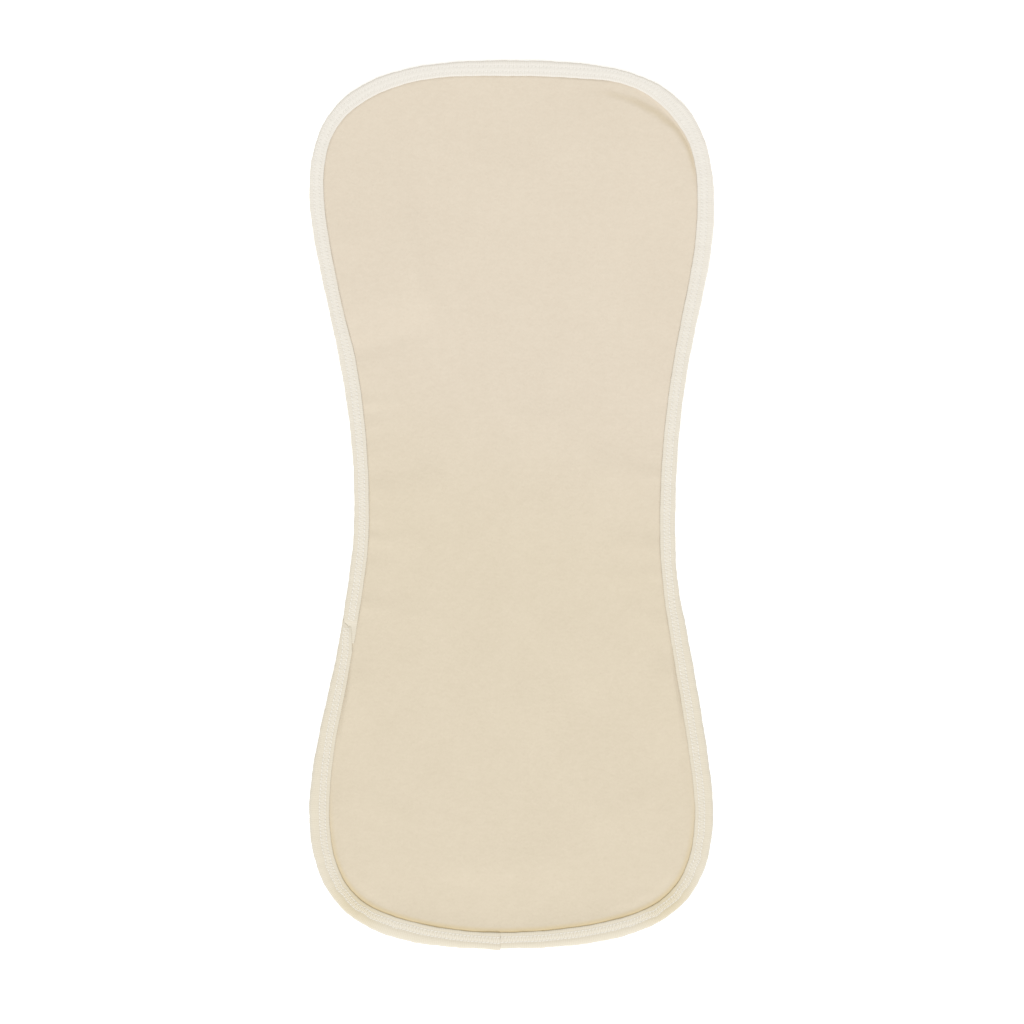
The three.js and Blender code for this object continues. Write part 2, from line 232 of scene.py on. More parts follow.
# Places where the panel is held down in a low shelf beside the binding. For each of a few positions:
# how deep it is, where the shelf ends, and where the panel has come up to its full height. Both are
# counted inwards from the binding's inner edge, and are negative where they lie under the binding.
SHELVES = [
    {"place": "pulled corner", "at": (0.30, 0.40, 0.50, 0.60, 0.70, 0.80, 0.95),
     "depth": (0, 0.9, 1.6, 1.8, 1.8, 2.0, 0), "shelf": (4.5, 4.5, 3.2, 1.1, -0.3, -1.2, -1.2),
     "shoulder": (9, 10.5, 10, 8, 5, 3.6, 3)},
    {"place": "lower right side", "at": (3.45, 3.80, 4.10, 4.30),
     "depth": (0, 1.1, 1.1, 0), "shelf": (-3, -3, -3, -3), "shoulder": (8, 8, 8, 8)},
    {"place": "lower left side", "at": (5.70, 5.90, 6.20, 6.50),
     "depth": (0, 1.1, 1.1, 0), "shelf": (-3, -3, -3, -3), "shoulder": (8, 8, 8, 8)},
]
SHELF_COLUMNS = ("depth", "shelf", "shoulder")

# Creases that follow the binding between two positions, deepest "beyond" inside it
HOLLOW_EASE = 0.15
RIM_HOLLOWS = [
    {"place": "lower right corner", "span": (4.0, 4.65), "beyond": 3.2, "reach": 2.3, "depth": 0.42},
    {"place": "lower left corner", "span": (5.4, 6.05), "beyond": 3.6, "reach": 2.4, "depth": 0.42},
]

# Along the lower end the panel falls quickly from the binding and comes back slowly
LOWER_END = {"span": (4.25, 4.7, 5.35, 5.8), "depth": 1.1, "fall": 4.2, "return": (8.0, 46.0)}

# Small radial puckers where the binding draws the cloth in: span of positions, spacing in
# millimetres, how far they reach into the panel, and their height. They sway along the edge and
# grow and shrink, each over a few spacings, so that no two look alike.
PUCKER_EASE = 0.3
PUCKER_SWAY = {"turn": 1.3, "spacings": 3.7}
PUCKER_GROWTH = {"steady": 0.65, "changing": 0.35, "spacings": 2.3}
PUCKERS = [
    {"place": "left waist", "span": (7.0, 8.7), "spacing": 16.0, "reach": 9, "height": 0.45},
    {"place": "right waist", "span": (1.4, 3.1), "spacing": 17.0, "reach": 10, "height": 0.26},
    {"place": "lower end", "span": (4.3, 5.7), "spacing": 26.0, "reach": 12, "height": 0.22},
    {"place": "all round", "span": (0.0, 10.0), "spacing": 9.0, "reach": 5, "height": 0.06},
]

# Heights of the panel's face and of its rim inside the binding, from above and from below, and how far
# a fold may rise before the underside leaves the table with it
PANEL_THICKNESS = 2.8
PANEL_RIM_TOP = 2.46
PANEL_RIM_UNDER = 1.45
UNDER_SLACK = 0.3
# Distance from the binding's lip over which the panel comes up to its full height, by position
RISE_WIDTHS = [
    (0, 0.9), (3, 1.2), (3.6, 3.0), (4.2, 3.0), (4.6, 0.8),
    (5.4, 0.8), (5.8, 3.0), (6.4, 3.0), (7, 1.2), (10, 0.9),
]
RISE_START = -0.2
print(len(FOLDS), "folds,", len(SHELVES), "shelves,", len(RIM_HOLLOWS), "hollows")

# %% [markdown]
# The height of the panel's face at any place is now a sum. Each kind of row has a share in it, and each
# share fades out smoothly, so that no fold starts with a step. A bell curve, which falls away on both
# sides of a line, does most of that work. The whole sum is faded in from the binding's inner edge,
# because the panel is pressed flat inside the binding.

# %% Height of the panel's face


def bell(distance, reach):
    return np.exp(-((distance / reach) ** 2))


def between(first, full, last, gone, value):
    """0 before the first value, 1 from full to last, and 0 again where it is gone."""
    return smooth(first, full, value) * (1 - smooth(last, gone, value))


def fold_height(xy, fold):
    start, end = np.array(fold["line"][:2], float), np.array(fold["line"][2:], float)
    length = np.linalg.norm(end - start)
    ahead = (end - start) / length
    travelled = (xy - start) @ ahead
    overrun = np.maximum(np.maximum(-travelled, travelled - length), 0)
    northward = (xy - start) @ np.array([-ahead[1], ahead[0]])
    reach = np.where(northward > 0, fold["north"], fold["south"])
    return fold["height"] * bell(northward, reach) * bell(overrun, fold["ends"])


def shelf_at(shelf, position):
    """The shelf's depth, its end and its shoulder at each position."""
    return [eased(list(zip(shelf["at"], shelf[column])), position) for column in SHELF_COLUMNS]


def slope_share(shelf, beyond, position):
    """1 halfway up the slope beside the deepest part of the shelf, and 0 away from the slope."""
    depth, low, high = shelf_at(shelf, position)
    raised = smooth(low, high, beyond)
    return depth / max(shelf["depth"]) * 4 * raised * (1 - raised)


def panel_height(xy, beyond, position, distance):
    """Height of the panel's upper face, from each point's place and its place beside the binding."""
    relief = sum(fold_height(xy, fold) for fold in FOLDS)
    for shelf in SHELVES:
        depth, low, high = shelf_at(shelf, position)
        relief -= depth * (1 - smooth(low, high, beyond))
    for hollow in RIM_HOLLOWS:
        low, high = hollow["span"]
        along = between(low, low + HOLLOW_EASE, high - HOLLOW_EASE, high, position)
        relief -= hollow["depth"] * along * bell(beyond - hollow["beyond"], hollow["reach"])
    along = between(*LOWER_END["span"], position)
    fallen = 1 - np.exp(-np.clip(beyond, 0, None) / LOWER_END["fall"])
    relief -= LOWER_END["depth"] * along * fallen * (1 - smooth(*LOWER_END["return"], beyond))
    for pucker in PUCKERS:
        low, high = pucker["span"]
        along = between(low, low + PUCKER_EASE, high - PUCKER_EASE, high, position)
        turn = distance / pucker["spacing"] * math.tau
        sway = PUCKER_SWAY["turn"] * np.sin(turn / PUCKER_SWAY["spacings"])
        growth = PUCKER_GROWTH["changing"] * np.sin(turn / PUCKER_GROWTH["spacings"] + 1)
        wave = np.sin(turn + sway) * (PUCKER_GROWTH["steady"] + growth)
        relief += pucker["height"] * along * wave * np.exp(-np.clip(beyond, 0, None) / pucker["reach"])
    opened = smooth(RISE_START, eased(RISE_WIDTHS, position), beyond)
    return PANEL_RIM_TOP + (PANEL_THICKNESS - PANEL_RIM_TOP + relief) * opened


ridge_middle = np.array([[-76.0, 118.5]])
far_inside, at_the_top = np.array([40.0]), np.array([0.0])
ridge = panel_height(ridge_middle, far_inside, at_the_top, at_the_top)
print("left ridge stands", ridge[0].round(2), "mm high")

# %% [markdown]
# ## How the binding's width is shared out
#
# The two rows of stitches keep their distance from the binding's inner edge all the way round. Only the
# rolled edge outside them grows wider or narrower. So a place across the binding is given as its
# distance from the inner edge on a binding 9 mm wide, and this helper stretches the roll to the width
# that the table gives.

# %% Across the binding
NOMINAL_WIDTH = 9.0
STITCHED_WIDTH = 6.2
STITCHED_SHARE = 0.82
SLOT_DEPTH = 6.7
RIM_CLEARANCE = 0.3


def across(nominal, width):
    stitched = np.minimum(STITCHED_WIDTH, STITCHED_SHARE * width)
    roll_share = np.maximum(nominal - STITCHED_WIDTH, 0) / (NOMINAL_WIDTH - STITCHED_WIDTH)
    return np.minimum(nominal / STITCHED_WIDTH, 1) * stitched + roll_share * (width - stitched)


print("slot depth from", across(SLOT_DEPTH, walk_widths.min()).round(2), "mm")

# %% [markdown]
# ## The panel
#
# The panel could be a grid cut to shape, but its rim would then be ragged. Here it starts as a circle
# with a point every 2.4 mm, which is drawn out to the line where the rim ends inside the binding. The
# loop is extruded inwards a few times, so that rings of faces run beside the binding, and the middle is
# filled with a grid.

# %% Panel outline and rings
RIM_RINGS = [-2.4, -0.7, 0.1, 0.7, 1.3, 2.0, 2.9, 4.0, 5.4, 7.2, 9.2]
PANEL_LOOP = 560


def select_object(piece):
    deselect_all()
    piece.select_set(True)
    bpy.context.view_layer.objects.active = piece


def coordinates(piece):
    flat = np.empty(len(piece.data.vertices) * 3, np.float32)
    piece.data.vertices.foreach_get("co", flat)
    return flat.reshape(-1, 3).astype(float) / MM


def place_vertices(piece, points_mm):
    piece.data.vertices.foreach_set("co", (np.asarray(points_mm) * MM).astype(np.float32).ravel())
    piece.data.update()


def selected_vertices(piece):
    return np.array([vertex.index for vertex in piece.data.vertices if vertex.select])


def loop_inside(distances, inset):
    """Points at the given distances along the edge, moved inwards by the inset."""
    index = np.searchsorted(walk_distances, np.mod(distances, EDGE_LENGTH), side="right") - 1
    point, heading = walk_points[index], walk_headings[index]
    inwards = np.column_stack([heading[:, 1], -heading[:, 0]])
    return point + inwards * np.reshape(inset, (-1, 1))


loop_distances = np.arange(PANEL_LOOP) * EDGE_LENGTH / PANEL_LOOP
loop_widths = eased(BINDING_WIDTHS, position_at(loop_distances))
rim_line = loop_inside(loop_distances, loop_widths - across(SLOT_DEPTH, loop_widths) + RIM_CLEARANCE)
deselect_all()
bpy.ops.mesh.primitive_circle_add(vertices=PANEL_LOOP, fill_type="NOTHING")
panel = bpy.context.object
panel.name = "panel_cloth"
place_vertices(panel, np.column_stack([rim_line, np.zeros(PANEL_LOOP)]))
bpy.ops.object.mode_set(mode="EDIT")
bpy.ops.mesh.select_all(action="SELECT")
for beyond in RIM_RINGS:
    bpy.ops.mesh.extrude_region_move()
    bpy.ops.object.mode_set(mode="OBJECT")
    newest = selected_vertices(panel)
    points = coordinates(panel)
    points[newest, :2] = loop_inside(loop_distances, loop_widths + beyond)
    place_vertices(panel, points)
    bpy.ops.object.mode_set(mode="EDIT")
print("panel rim of", len(RIM_RINGS), "rings with", PANEL_LOOP, "points each")

# %% [markdown]
# A loop of edges can be filled with one big face or with a fan, but soft folds need an even net of
# squares. Grid Fill makes one, if it is told where a corner lies and how many squares lie along the
# short side. The corner is the active vertex, chosen here at the upper left.

# %% Fill the middle
GRID_SPAN = 74

net = bmesh.from_edit_mesh(panel.data)
net.verts.ensure_lookup_table()
net.select_history.clear()
net.select_history.add(net.verts[int(newest[-GRID_SPAN // 2])])
bmesh.update_edit_mesh(panel.data)
bpy.ops.mesh.fill_grid(span=GRID_SPAN)
bpy.ops.object.mode_set(mode="OBJECT")
print("panel face of", len(panel.data.polygons), "squares")

# %% [markdown]
# Every point of the face is now lifted to its height. It needs the nearest step of the walked edge for
# that, and a KD tree finds it quickly. Then the face is extruded once more, which gives the panel its
# underside. That lies flat on the table, and leaves it only where the panel enters the binding or
# where a fold stands so high that the soft layers no longer fill it. Where the face is pulled down, the
# layers under it are pressed, but never to less than their least thickness. Each point also keeps its
# distance from the binding and its share in the pulled corner's crease, which the material reads.

# %% Raise the face and close the underside
UNDER_TURN = 3.6
LEAST_THICKNESS = 0.8

edge_tree = KDTree(len(walk_points))
for index, point in enumerate(walk_points):
    edge_tree.insert((*point, 0.0), index)
edge_tree.balance()


def add_number(piece, name, values):
    layer = piece.data.attributes.new(name, "FLOAT", "POINT")
    layer.data.foreach_set("value", np.asarray(values, np.float32))


def beside_edge(points):
    """For each point: how far it lies beyond the binding's inner edge, its position, its distance."""
    found = [edge_tree.find((x, y, 0.0)) for x, y in points[:, :2]]
    index = np.array([hit[1] for hit in found])
    away = np.array([hit[2] for hit in found])
    return away - walk_widths[index], walk_positions[index], walk_distances[index]


points = coordinates(panel)
points[:, 2] = panel_height(points[:, :2], *beside_edge(points))
place_vertices(panel, points)

bpy.ops.object.mode_set(mode="EDIT")
bpy.ops.mesh.select_all(action="SELECT")
bpy.ops.mesh.extrude_region_move()
bpy.ops.object.mode_set(mode="OBJECT")
underside = selected_vertices(panel)
points = coordinates(panel)
beyond = beside_edge(points[underside])[0]
in_binding = 1 - smooth(0, UNDER_TURN, beyond)
off_the_table = np.maximum(points[underside, 2] - PANEL_THICKNESS - UNDER_SLACK, 0) * (1 - in_binding)
lowest_face = np.maximum(points[underside, 2] - LEAST_THICKNESS, 0)
points[underside, 2] = np.minimum(PANEL_RIM_UNDER * in_binding + off_the_table, lowest_face)
place_vertices(panel, points)

bpy.ops.object.mode_set(mode="EDIT")
bpy.ops.mesh.select_all(action="SELECT")
bpy.ops.mesh.normals_make_consistent(inside=False)
bpy.ops.object.mode_set(mode="OBJECT")
bpy.ops.object.shade_smooth()
beyond, position, _ = beside_edge(points)
add_number(panel, "beyond_binding", beyond)
# The material reads in_crease to paint shade into the pulled corner's crease
add_number(panel, "in_crease", slope_share(SHELVES[0], beyond, position))
print("panel", len(panel.data.polygons), "faces, top at", points[:, 2].max().round(2), "mm")

# %% [markdown]
# ## The section of the binding
#
# The binding is a strip of rib knit, folded in half and then folded round the panel's raw edge. Cut
# across, it is a C: two flat limbs that hold the panel between them, a full roll at the outside, and a
# rounded lip where each limb ends. The needles pull both limbs in along two rows. Straight parts are
# sampled at a few places, and the roll and the lips are arcs.

# %% Binding section
INNER_ROW = 2.35
OUTER_ROW = 5.6
ROW_REACH = 0.55
UPPER_FACE = {"height": 3.4, "dip": 0.24, "lip fall": 0.22}
LOWER_FACE = {"height": 0.2, "dip": -0.2, "lip fall": 0.0}
LIMB_PLACES = [0.7, 1.6, INNER_ROW, 3.1, 3.97, 4.85, OUTER_ROW]
HALF_TURN = np.linspace(-90, 90, 11)
LIP_TURN = np.linspace(125, 235, 3)
ROLL = {"centre": (6.2, 1.73), "reach": 2.8, "rise": 1.69, "turn": HALF_TURN, "fullness": 2.5}
UPPER_LIP = {"centre": (0.45, 2.82), "reach": 0.5, "rise": 0.38, "turn": LIP_TURN, "fullness": 2}
LOWER_LIP = {"centre": (0.45, 0.7), "reach": 0.5, "rise": 0.38, "turn": LIP_TURN, "fullness": 2}
# The slot between the limbs, at its closed end
SLOT_TOP = 2.5
SLOT_FLOOR = 1.05


def arc(part):
    """Points on an arc. A fullness of 2 is an ellipse, and more is squarer, like a pressed fold."""
    turn = np.radians(part["turn"])
    power = 2 / part["fullness"]
    along = part["centre"][0] + part["reach"] * np.sign(np.cos(turn)) * np.abs(np.cos(turn)) ** power
    up = part["centre"][1] + part["rise"] * np.sign(np.sin(turn)) * np.abs(np.sin(turn)) ** power
    return list(zip(along, up))


def limb(face):
    """The limb's face: pressed in along both rows, and a little lower towards its lip."""
    places = np.array(LIMB_PLACES)
    rows = bell(places - INNER_ROW, ROW_REACH) + bell(places - OUTER_ROW, ROW_REACH)
    falling = 1 - smooth(0, INNER_ROW, places)
    return list(zip(places, face["height"] - face["dip"] * rows - face["lip fall"] * falling))


SECTION = np.array(
    arc(LOWER_LIP) + limb(LOWER_FACE) + arc(ROLL) + limb(UPPER_FACE)[::-1] + arc(UPPER_LIP)
    + [(SLOT_DEPTH, SLOT_TOP), (SLOT_DEPTH, SLOT_FLOOR)]
)
section_sides = np.roll(SECTION, -1, 0) - np.roll(SECTION, 1, 0)
section_normals = np.column_stack([section_sides[:, 1], -section_sides[:, 0]])
section_normals /= np.linalg.norm(section_normals, axis=1)[:, None]
section_lengths = np.concatenate([[0], np.cumsum(np.linalg.norm(np.diff(SECTION, axis=0), axis=1))])
print("section of", len(SECTION), "points,", section_lengths[-1].round(1), "mm round")

# %% [markdown]
# ## Two runs of binding
#
# The binding is two strips. The long one runs from the side join over the top to the bottom join, and
# the short one closes the gap and laps over both ends of the long one. A run is measured in stitches,
# because the ribs, the needle holes and the threads all repeat with them.

# %% Runs and laps
STITCHES_ROUND = 630
STITCH = EDGE_LENGTH / STITCHES_ROUND
# How far past each join the short strip's ends and the long strip's ends lie, clockwise along the edge
LAP = {"bottom end": -0.4, "side end": 7.4, "under bottom": 6.0, "under side": -5.5}
# The short strip rises and is pushed outwards where it laps
LAP_RISE = {"bottom join": 0.4, "side join": 0.12}
LAP_PUSH = {"bottom join": LAP_OUT, "side join": 0.1}
LAP_HOLD = 6.0
LAP_FADE = 16.0
# The long strip's ends are tucked in and pressed flat under the short one
TUCK = {"lift": 0.5, "pull": 0.15, "hold": 17.0, "fade": 24.0}
PRESSED = {"above": 2.5, "share": 0.55, "side ease": 3, "bottom ease": 2}
SIDE_LAP = LAP["side end"] - LAP["under side"]
BOTTOM_LAP = LAP["under bottom"] - LAP["bottom end"]
# Towards its side end the short strip grows narrower
NARROWED = {"by": 2.9, "from": -10.6, "to": 2.8}


def run_between(name, start, end):
    stitches = round((end - start) / STITCH)
    return {"name": name, "start": start, "end": end, "stitches": stitches, "pitch": (end - start) / stitches}


side_join, bottom_join = distance_of("side join"), distance_of("bottom join")
LONG_RUN = run_between("long", side_join + LAP["under side"], bottom_join + EDGE_LENGTH + LAP["under bottom"])
SHORT_RUN = run_between("short", bottom_join + LAP["bottom end"], side_join + LAP["side end"])
for run in (LONG_RUN, SHORT_RUN):
    print(run["name"], "run:", run["stitches"], "stitches of", round(run["pitch"], 3), "mm")

# %% [markdown]
# Strip and threads are all made straight, on a bench, with X along the strip, Y across it from its
# inner edge and Z up. One helper then says where a bench point goes beside the edge. It stretches the
# roll, raises and pushes out the short strip where it laps, presses the long strip's ends flat under
# it, flattens the rows round the upper end, and adds the little unevenness that a hand-guided strip has.
# The guide is a closed curve, which Blender follows from its last point on, so distances are counted
# from there.

# %% From the bench to the edge
GUIDE_START = distance_of(PLACES[-1])
WOBBLE = [
    {"wavelength": 23.0, "size": 0.10},
    {"wavelength": 9.1, "size": 0.06},
    {"wavelength": 5.3, "size": 0.04},
]
WOBBLE_INSIDE = 0.6
WOBBLE_UP = {"share": 0.5, "most": 0.2}
WANDER = {"spans": [(4.0, 4.65), (5.3, 5.9)], "ease": 0.15, "size": 1.3, "wavelength": 15.0,
          "second size": 0.6, "second turn": 1.7}

# Round the upper end the rows are sewn with less pull, so the threads and the dips under them are
# flatter: by which share, above which height, and between which places along the cloth
LOOSE = {"share": 0.5, "above": 3.16, "from y": -60, "to y": 90}


def edge_y(distance):
    return np.interp(np.mod(distance, EDGE_LENGTH), walk_distances, walk_points[:, 1])


def wobble(distance, phase):
    return sum(
        wave["size"] * np.sin(distance / wave["wavelength"] * math.tau + phase + row)
        for row, wave in enumerate(WOBBLE)
    )


def wander(distance, position):
    """Round the lower corners the hand-guided rows stray from their line."""
    ease = WANDER["ease"]
    amount = sum(between(low, low + ease, high - ease, high, position) for low, high in WANDER["spans"])
    turn = distance / WANDER["wavelength"] * math.tau
    second = WANDER["second size"] * np.sin(WANDER["second turn"] * turn + 1)
    return WANDER["size"] * amount * (np.sin(turn) + second)


def beside(bench, run):
    """Bench points in millimetres, laid along the run: distance along the edge, outwards, up."""
    x, q, z = bench.T
    distance = run["start"] + x / STITCH * run["pitch"]
    position = position_at(distance)
    width = eased(BINDING_WIDTHS, position)
    from_end = np.minimum(distance - run["start"], run["end"] - distance)
    outer_share = np.clip(q / NOMINAL_WIDTH, 0, 1)
    height_share = z / UPPER_FACE["height"]
    if run is SHORT_RUN:
        narrowed = NARROWED["by"] * np.clip(
            (distance - side_join - NARROWED["from"]) / (NARROWED["to"] - NARROWED["from"]), 0, 1
        )
        width = width - narrowed
        near_bottom = distance < (run["start"] + run["end"]) / 2
        push = np.where(near_bottom, LAP_PUSH["bottom join"], LAP_PUSH["side join"])
        rise = np.where(near_bottom, LAP_RISE["bottom join"], LAP_RISE["side join"])
        pushed = push * (1 - smooth(0, LAP_FADE, from_end))
        lifted = rise * (1 - smooth(LAP_HOLD, LAP_FADE, from_end)) * height_share
    else:
        tucked = 1 - smooth(TUCK["hold"], TUCK["fade"], from_end)
        pushed = -TUCK["pull"] * tucked
        lifted = TUCK["lift"] * tucked * (1 - height_share)
        side_start, bottom_start = SIDE_LAP - PRESSED["side ease"], BOTTOM_LAP - PRESSED["bottom ease"]
        under_side = 1 - smooth(side_start, SIDE_LAP, distance - run["start"])
        under_bottom = 1 - smooth(bottom_start, BOTTOM_LAP, run["end"] - distance)
        pressed = PRESSED["share"] * np.maximum(under_side, under_bottom)
        lifted = lifted - pressed * np.maximum(z - PRESSED["above"], 0)
    loose = LOOSE["share"] * smooth(LOOSE["from y"], LOOSE["to y"], edge_y(distance))
    lifted = lifted - loose * np.maximum(z - LOOSE["above"], 0)
    inset = width - across(q, width) - pushed * outer_share
    inner_wobble = WOBBLE_INSIDE * wobble(distance, 2)
    inset = inset + wobble(distance, 0) * outer_share + inner_wobble * (1 - outer_share)
    inset = inset + wander(distance, position) * outer_share * (1 - outer_share)
    up_and_down = np.clip(wobble(distance, 4), -WOBBLE_UP["most"], WOBBLE_UP["most"])
    lifted = lifted + WOBBLE_UP["share"] * up_and_down * height_share
    return np.column_stack([distance - GUIDE_START, -inset, np.maximum(z + lifted, 0)])


halfway = LONG_RUN["stitches"] * STITCH / 2
print("a stitch at the top lies at", beside(np.array([[halfway, 3, 3.7]]), LONG_RUN))

# %% [markdown]
# The strip itself starts as a circle, which takes the shape of the section. Four extrusions make one
# stitch of it, and an Array modifier repeats the stitch. Every other ring stands out a little, which
# gives the ribs of the knit, two for each stitch, and a ring's row points are pressed in where the
# needle went through.

# %% Make a straight strip
STEPS_PER_STITCH = 4
RIB_HEIGHT = 0.045
HOLE_DEPTH = 0.12
WELD = 1e-5


def apply_array(piece, count):
    select_object(piece)
    bpy.ops.object.modifier_add(type="ARRAY")
    array = piece.modifiers[-1]
    array.count = count
    array.use_relative_offset = False
    array.use_constant_offset = True
    array.constant_offset_displace = (STITCH * MM, 0, 0)
    array.use_merge_vertices = True
    array.merge_threshold = WELD
    bpy.ops.object.modifier_apply(modifier=array.name)


def select_vertices(piece, chosen):
    """Leaves the piece in edit mode with the chosen vertices selected."""
    select_object(piece)
    bpy.ops.object.mode_set(mode="EDIT")
    bpy.ops.mesh.select_mode(type="VERT")
    bpy.ops.mesh.select_all(action="DESELECT")
    bpy.ops.object.mode_set(mode="OBJECT")
    piece.data.vertices.foreach_set("select", np.asarray(chosen, bool))
    bpy.ops.object.mode_set(mode="EDIT")


def straight_strip(name, run):
    deselect_all()
    bpy.ops.mesh.primitive_circle_add(vertices=len(SECTION), fill_type="NOTHING")
    strip = bpy.context.object
    strip.name = name
    place_vertices(strip, np.column_stack([np.zeros(len(SECTION)), SECTION]))
    bpy.ops.object.mode_set(mode="EDIT")
    bpy.ops.mesh.select_all(action="SELECT")
    for _ in range(STEPS_PER_STITCH):
        step = {"value": (STITCH / STEPS_PER_STITCH * MM, 0, 0)}
        bpy.ops.mesh.extrude_region_move(TRANSFORM_OT_translate=step)
    bpy.ops.object.mode_set(mode="OBJECT")
    apply_array(strip, run["stitches"])
    x = coordinates(strip)[:, 0]
    for end in (x.min(), x.max()):
        select_vertices(strip, np.abs(x - end) < STITCH / STEPS_PER_STITCH / 2)
        bpy.ops.mesh.edge_face_add()
        bpy.ops.object.mode_set(mode="OBJECT")
    bpy.ops.object.mode_set(mode="EDIT")
    bpy.ops.mesh.select_all(action="SELECT")
    bpy.ops.mesh.normals_make_consistent(inside=False)
    bpy.ops.object.mode_set(mode="OBJECT")
    return strip


# %% [markdown]
# The finished strip carries two numbers on each point, for its material: how many stitches along it
# lies and how far round the section. They stay true when the strip is bent, so the rib follows the
# edge. The bending is Blender's Curve modifier with the edge curve as its guide.

# %% Shape the strip and bend it round the edge
RAKE = {"length": 4.0, "across": 6.5, "spread": 9.0, "sink": 0.07, "draw in": 0.3, "over": 4.0}


def bend_round_edge(piece):
    select_object(piece)
    bpy.ops.object.modifier_add(type="CURVE")
    bend = piece.modifiers[-1]
    bend.object = edge_curve
    bend.deform_axis = "POS_X"
    bpy.ops.object.modifier_apply(modifier=bend.name)
    bpy.ops.object.shade_smooth()


def rake_end(bench, run):
    """The short strip's side end is cut on a slant and pressed into the long strip that it laps over."""
    x, q, z = bench.T
    length = run["stitches"] * STITCH
    slant = RAKE["length"] * np.clip((NOMINAL_WIDTH - q) / RAKE["across"], 0, 1)
    near = smooth(length - RAKE["spread"], length, x)
    pressed = smooth(length - RAKE["over"], length, x)
    drawn_in = RAKE["draw in"] * pressed * q / NOMINAL_WIDTH
    return np.column_stack([x - slant * near, q - drawn_in, z * (1 - RAKE["sink"] * pressed)])


def make_binding(name, run):
    strip = straight_strip(name, run)
    bench = coordinates(strip)
    step = np.rint(bench[:, 0] / STITCH * STEPS_PER_STITCH).astype(int)
    spot = ((bench[:, None, 1:] - SECTION[None]) ** 2).sum(2).argmin(1)
    add_number(strip, "stitches_along", step / STEPS_PER_STITCH)
    add_number(strip, "around", section_lengths[spot])
    is_row = np.isin(bench[:, 1].round(3), (INNER_ROW, OUTER_ROW))
    is_hole = is_row & (step % STEPS_PER_STITCH == 0)
    add_number(strip, "needle_hole", is_hole)
    out = np.where(step % 2 == 1, RIB_HEIGHT, -RIB_HEIGHT) - HOLE_DEPTH * is_hole
    bench[:, 1:] += section_normals[spot] * out[:, None]
    if run is SHORT_RUN:
        bench = rake_end(bench, run)
    place_vertices(strip, beside(bench, run))
    bend_round_edge(strip)
    print(name, len(strip.data.polygons), "faces")
    return strip


binding_long = make_binding("binding_long_rib", LONG_RUN)
binding_short = make_binding("binding_short_rib", SHORT_RUN)

# %% [markdown]
# ## The needle threads
#
# A two-needle machine leaves two rows of short straight stitches on the face. Each stitch is a plump
# bit of thread that dives into the cloth at both ends, so a stretched sphere with few faces is enough,
# repeated along the run by an Array modifier and bent round the edge like the strip. Both runs are sewn
# in one pass, so a few stitches are left off at the long strip's start and end, where the short strip
# covers it, and at the short strip's cut end.

# %% Needle rows
NEEDLE_STITCH = {"length": 1.8, "width": 0.4, "height": 0.3, "sink": 0.04}
STITCH_SIDES = 8
STITCH_RINGS = 5
LEFT_OFF = {"long": (6, 3), "short": (0, 2)}


def join_pieces(name, pieces):
    select_object(pieces[0])
    for piece in pieces[1:]:
        piece.select_set(True)
    bpy.ops.object.join()
    pieces[0].name = name
    pieces[0].data.name = name
    return pieces[0]


def lay_thread(thread, run):
    first, last = LEFT_OFF[run["name"]]
    apply_array(thread, run["stitches"] - first - last)
    place_vertices(thread, beside(coordinates(thread) + [first * STITCH, 0, 0], run))
    bend_round_edge(thread)
    return thread


def needle_row(row, run):
    deselect_all()
    bpy.ops.mesh.primitive_uv_sphere_add(
        segments=STITCH_SIDES, ring_count=STITCH_RINGS, radius=MM / 2, rotation=(0, math.pi / 2, 0))
    stitch = bpy.context.object
    bpy.ops.object.transform_apply(location=False, rotation=True, scale=False)
    size = [NEEDLE_STITCH["length"], NEEDLE_STITCH["width"], NEEDLE_STITCH["height"]]
    height = UPPER_FACE["height"] - UPPER_FACE["dip"] - NEEDLE_STITCH["sink"] + NEEDLE_STITCH["height"] / 2
    place_vertices(stitch, coordinates(stitch) * size + [STITCH / 2, row, height])
    return lay_thread(stitch, run)


needle_pieces = [needle_row(row, run) for run in (LONG_RUN, SHORT_RUN) for row in (INNER_ROW, OUTER_ROW)]
needle_rows = join_pieces("needle_rows", needle_pieces)
print("needle rows", len(needle_rows.data.polygons), "faces")

# %% [markdown]
# ## The cover thread and the looper thread
#
# Between the rows runs a finer thread that zigzags from one row to the other, and under the cloth the
# looper thread crosses twice for each stitch. Both are Bezier curves of one stitch with a round bevel,
# turned into a mesh before they are repeated, so that the ends of neighbouring stitches can be welded.
# They start a quarter of a stitch early, so that they turn halfway between a needle hole and the middle
# of a stitch in both rows.

# %% Zigzag threads
COVER_THREAD = {"thickness": 0.25, "middle": UPPER_FACE["height"] - 0.02, "turn": UPPER_FACE["height"] - 0.2}
LOOPER_THREAD = {"thickness": 0.24, "middle": 0.14, "turn": 0.3}
CROSSINGS = 4
END_REACH = 0.16


